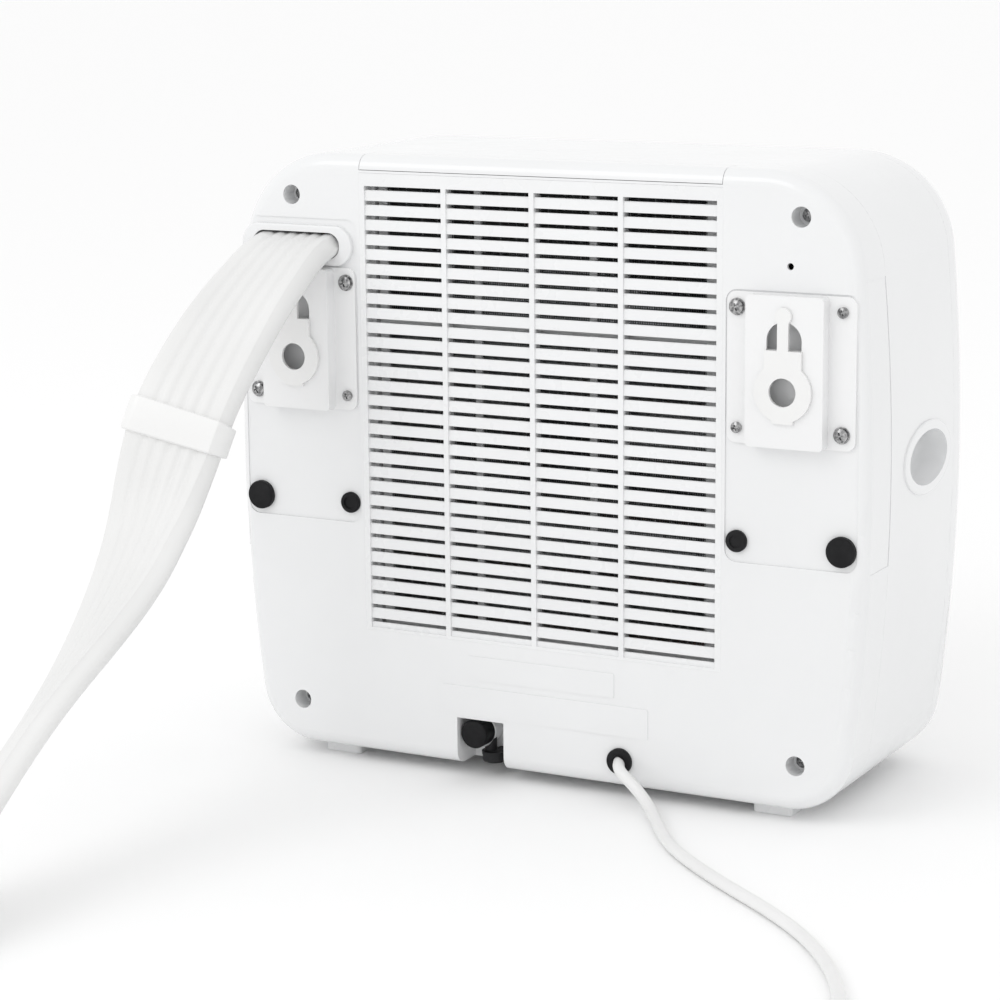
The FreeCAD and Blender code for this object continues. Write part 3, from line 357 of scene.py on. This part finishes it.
# ---------------------------------------------------------------- the filter's woven mesh
WIRE_PITCH, WIRE_HALF = 1.7 * MM, 0.24 * MM


def make_weave():
    """Crossed wires that fill the filter's frame."""
    low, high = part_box("filter_mesh")
    middle = (low.y + high.y) / 2
    bm = bmesh.new()
    for axis, other in ((0, 2), (2, 0)):
        count = int((high[axis] - low[axis]) / WIRE_PITCH)
        level = middle + (WIRE_HALF * 0.75 if axis == 0 else -WIRE_HALF * 0.75)
        for k in range(count + 1):
            at = low[axis] + WIRE_PITCH * k
            ends = []
            for far in (low[other], high[other]):
                ring = []
                for da, dy in ((1, 0), (0, 1), (-1, 0), (0, -1)):
                    place = Vector((0, level + dy * WIRE_HALF, 0))
                    place[axis] = at + da * WIRE_HALF
                    place[other] = far
                    ring.append(bm.verts.new(place))
                ends.append(ring)
            for n in range(4):
                m = (n + 1) % 4
                bm.faces.new((ends[0][n], ends[0][m], ends[1][m], ends[1][n]))
    bmesh.ops.recalc_face_normals(bm, faces=bm.faces)
    mesh = bpy.data.meshes.new("filter_weave")
    bm.to_mesh(mesh)
    bm.free()
    return add_object("filter_weave", mesh)


weave = make_weave()
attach(weave, "filter")
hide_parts("filter_mesh")


# ---------------------------------------------------------------- materials
def shader(name):
    mat = bpy.data.materials.new(name)
    mat.use_nodes = True
    tree = mat.node_tree
    return mat, tree, tree.nodes["Principled BSDF"]


def noise(tree, coords, scale, detail=3.0, roughness=0.5):
    node = tree.nodes.new("ShaderNodeTexNoise")
    node.inputs["Scale"].default_value = scale
    node.inputs["Detail"].default_value = detail
    node.inputs["Roughness"].default_value = roughness
    tree.links.new(coords, node.inputs["Vector"])
    return node.outputs["Fac"]


def spread(tree, value, low, high, start=0.3, end=0.7):
    """Maps a noise value onto a range."""
    node = tree.nodes.new("ShaderNodeMapRange")
    for name, number in (("From Min", start), ("From Max", end), ("To Min", low), ("To Max", high)):
        node.inputs[name].default_value = number
    tree.links.new(value, node.inputs["Value"])
    return node.outputs["Result"]


def mixed(tree, value, first, second):
    node = tree.nodes.new("ShaderNodeMix")
    node.data_type = "RGBA"
    node.inputs["A"].default_value = (*first, 1)
    node.inputs["B"].default_value = (*second, 1)
    tree.links.new(value, node.inputs["Factor"])
    return node.outputs["Result"]


def stretched(tree, coords, factors):
    node = tree.nodes.new("ShaderNodeMapping")
    node.inputs["Scale"].default_value = factors
    tree.links.new(coords, node.inputs["Vector"])
    return node.outputs["Vector"]


def finish_material(
    name, dark, light, rough, grain, bump, patch=9.0, metallic=0.0, coat=0.0, along=(1, 1, 1), level=0.5,
):
    """Moulded, painted or plated stuff: patchy colour, uneven gloss and a fine grain.

    dark and light are the ends of its colour, rough the ends of its roughness, grain the grains to a metre,
    bump the height of the grain in metres, patch the colour patches to a metre, along how the texture is
    stretched along each axis, and level the strength of its reflections.
    """
    mat, tree, bsdf = shader(name)
    coords = tree.nodes.new("ShaderNodeTexCoord").outputs["Object"]
    if along != (1, 1, 1):
        coords = stretched(tree, coords, along)
    patches = spread(tree, noise(tree, coords, patch, 4.0), 0.0, 1.0)
    tree.links.new(mixed(tree, patches, dark, light), bsdf.inputs["Base Color"])
    gloss = spread(tree, noise(tree, coords, patch * 5, 3.0), rough[0], rough[1])
    tree.links.new(gloss, bsdf.inputs["Roughness"])
    relief = tree.nodes.new("ShaderNodeBump")
    relief.inputs["Strength"].default_value = 1.0
    relief.inputs["Distance"].default_value = bump
    tree.links.new(noise(tree, coords, grain, 2.0), relief.inputs["Height"])
    tree.links.new(relief.outputs["Normal"], bsdf.inputs["Normal"])
    bsdf.inputs["Metallic"].default_value = metallic
    bsdf.inputs["Coat Weight"].default_value = coat
    bsdf.inputs["Coat Roughness"].default_value = 0.06
    bsdf.inputs["Specular IOR Level"].default_value = level
    return mat


def spangled(name):
    """Galvanised sheet: crystal patches of slightly different greys."""
    mat, tree, bsdf = shader(name)
    coords = tree.nodes.new("ShaderNodeTexCoord").outputs["Object"]
    cells = tree.nodes.new("ShaderNodeTexVoronoi")
    cells.inputs["Scale"].default_value = 130.0
    tree.links.new(coords, cells.inputs["Vector"])
    shade = tree.nodes.new("ShaderNodeSeparateColor")
    tree.links.new(cells.outputs["Color"], shade.inputs["Color"])
    greys = mixed(tree, shade.outputs["Red"], (0.50, 0.51, 0.52), (0.68, 0.69, 0.70))
    tree.links.new(greys, bsdf.inputs["Base Color"])
    tree.links.new(spread(tree, shade.outputs["Green"], 0.28, 0.46, 0.0, 1.0), bsdf.inputs["Roughness"])
    relief = tree.nodes.new("ShaderNodeBump")
    relief.inputs["Distance"].default_value = 0.00003
    tree.links.new(noise(tree, coords, 700.0), relief.inputs["Height"])
    tree.links.new(relief.outputs["Normal"], bsdf.inputs["Normal"])
    bsdf.inputs["Metallic"].default_value = 1.0
    return mat


MATERIALS = {
    "casing": finish_material(
        "gloss_casing", (0.795, 0.80, 0.805), (0.83, 0.835, 0.84),
        (0.16, 0.24), 420.0, 0.000012, patch=5.0, coat=0.25),
    "grille": finish_material(
        "louvre_plastic", (0.80, 0.805, 0.81), (0.835, 0.84, 0.845), (0.24, 0.34), 700.0, 0.000012),
    "plate": finish_material(
        "plate_paint", (0.815, 0.817, 0.82), (0.85, 0.852, 0.855), (0.30, 0.40), 900.0, 0.00003),
    "lock": finish_material(
        "lock_plastic", (0.80, 0.80, 0.795), (0.835, 0.835, 0.83), (0.28, 0.36), 800.0, 0.00001),
    "filter": finish_material(
        "filter_plastic", (0.66, 0.665, 0.67), (0.72, 0.725, 0.73), (0.42, 0.54), 900.0, 0.00002),
    "mesh": finish_material(
        "mesh_nylon", (0.035, 0.037, 0.040), (0.065, 0.068, 0.072),
        (0.42, 0.60), 2500.0, 0.00002, patch=40.0),
    "rubber": finish_material(
        "black_rubber", (0.008, 0.008, 0.009), (0.016, 0.016, 0.017),
        (0.46, 0.62), 1600.0, 0.00004, patch=60.0, level=0.16),
    "black_plastic": finish_material(
        "black_plastic", (0.012, 0.012, 0.013), (0.022, 0.022, 0.024),
        (0.30, 0.44), 1400.0, 0.00003, patch=50.0, level=0.2),
    "screw": finish_material(
        "zinc_plating", (0.10, 0.10, 0.105), (0.55, 0.55, 0.55), (0.10, 0.28), 2200.0, 0.00006, patch=420.0,
        metallic=1.0),
    "hose": finish_material(
        "hose_sleeve", (0.755, 0.755, 0.75), (0.795, 0.795, 0.79),
        (0.40, 0.52), 1300.0, 0.00003, patch=14.0),
    "lead": finish_material(
        "lead_vinyl", (0.80, 0.80, 0.795), (0.84, 0.84, 0.835), (0.34, 0.46), 1500.0, 0.00002, patch=25.0),
    "brass": finish_material(
        "machined_brass", (0.60, 0.44, 0.18), (0.76, 0.60, 0.30),
        (0.18, 0.34), 1800.0, 0.00002, patch=160.0,
        metallic=1.0, along=(1, 6, 1)),
    "copper": finish_material(
        "drawn_copper", (0.52, 0.25, 0.15), (0.74, 0.40, 0.26), (0.22, 0.42), 900.0, 0.00003, patch=40.0,
        metallic=1.0, along=(1, 1, 4)),
    "fins": finish_material(
        "fin_foil", (0.56, 0.57, 0.58), (0.74, 0.75, 0.76), (0.30, 0.46), 1100.0, 0.00003, patch=60.0,
        metallic=1.0, along=(1, 1, 0.2)),
    "sheet": spangled("galvanised_sheet"),
    "fan": finish_material(
        "fan_plastic", (0.035, 0.036, 0.038), (0.055, 0.057, 0.060),
        (0.34, 0.48), 900.0, 0.00003, patch=20.0),
    "motor": finish_material(
        "motor_enamel", (0.045, 0.047, 0.050), (0.075, 0.078, 0.082),
        (0.30, 0.44), 800.0, 0.00004, patch=20.0),
    "inner": finish_material(
        "inner_plastic", (0.58, 0.58, 0.58), (0.66, 0.66, 0.655), (0.42, 0.56), 900.0, 0.00003, patch=14.0),
}


def dress(piece, slot_name):
    piece.data.materials.clear()
    piece.data.materials.append(MATERIALS[slot_name])


for part in frame["record"]["subparts"]:
    dress(nodes[part["node"]], part["material_slot"])
for piece, slot_name in (
    (hose, "hose"), (collar, "lock"), (lead, "lead"), (plug, "lead"), (weave, "mesh"),
):
    dress(piece, slot_name)


# ---------------------------------------------------------------- studio
FLOOR_REACH = 40.0
FLOOR_GAP = 0.2 * MM         # the floor lies this far under the feet


def studio_floor():
    mesh = bpy.data.meshes.new("studio_floor")
    bm = bmesh.new()
    bmesh.ops.create_grid(bm, x_segments=1, y_segments=1, size=FLOOR_REACH)
    bm.to_mesh(mesh)
    bm.free()
    floor = add_object("studio_floor", mesh)
    floor.location.z = -FLOOR_GAP
    mat, tree, bsdf = shader("floor_paint")
    bsdf.inputs["Base Color"].default_value = (0.97, 0.97, 0.97, 1)
    bsdf.inputs["Roughness"].default_value = 0.9
    bsdf.inputs["Specular IOR Level"].default_value = 0.1
    floor.data.materials.append(mat)


def soft_light(name, place, aim, wide, high, watts):
    data = bpy.data.lights.new(name, "AREA")
    data.shape = "RECTANGLE"
    data.size, data.size_y = wide, high
    data.energy = watts
    lamp = add_object(name, data)
    lamp.location = place
    lamp.rotation_euler = (Vector(aim) - Vector(place)).to_track_quat("-Z", "Y").to_euler()


studio_floor()
soft_light("key_light", (0.9, 1.9, 1.9), (0.0, 0.1, 0.2), 1.6, 1.2, 9.0)
soft_light("fill_light", (-1.4, 2.4, 0.8), (-0.1, 0.1, 0.2), 1.6, 1.2, 1.5)

world = bpy.data.worlds.new("studio_air")
scene.world = world
world.use_nodes = True
air = world.node_tree.nodes["Background"]
air.inputs["Color"].default_value = (1.0, 1.0, 1.0, 1)
air.inputs["Strength"].default_value = 1.0
scene.view_settings.view_transform = "Standard"
